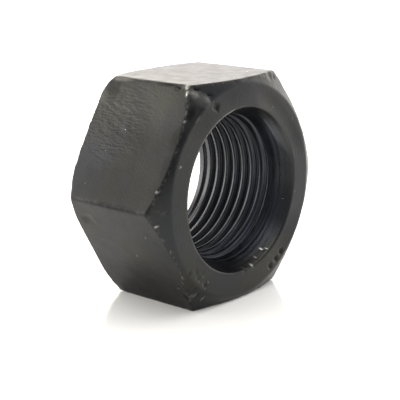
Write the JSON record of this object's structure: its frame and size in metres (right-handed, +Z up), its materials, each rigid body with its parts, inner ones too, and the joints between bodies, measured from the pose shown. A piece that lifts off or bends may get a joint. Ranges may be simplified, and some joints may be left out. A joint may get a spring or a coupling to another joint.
{
  "type": "hex nut",
  "caption": "Blackened steel hex nut with a fine internal metric thread, chamfered corners and countersunk ends.",
  "frame": {"origin": "centre of the nut, on the thread axis, halfway between the two bearing faces", "axes": "+Y along the thread axis, away from the marked face; +Z up, square to the top flat; +X to the right seen from the marked face"},
  "size_m": [0.0334, 0.0154, 0.0292],
  "materials": {
    "black_steel": "black oxide over a hot forged surface"
  },
  "bodies": {
    "root": {"hex_nut": "black_steel"}
  },
  "joints": []
}
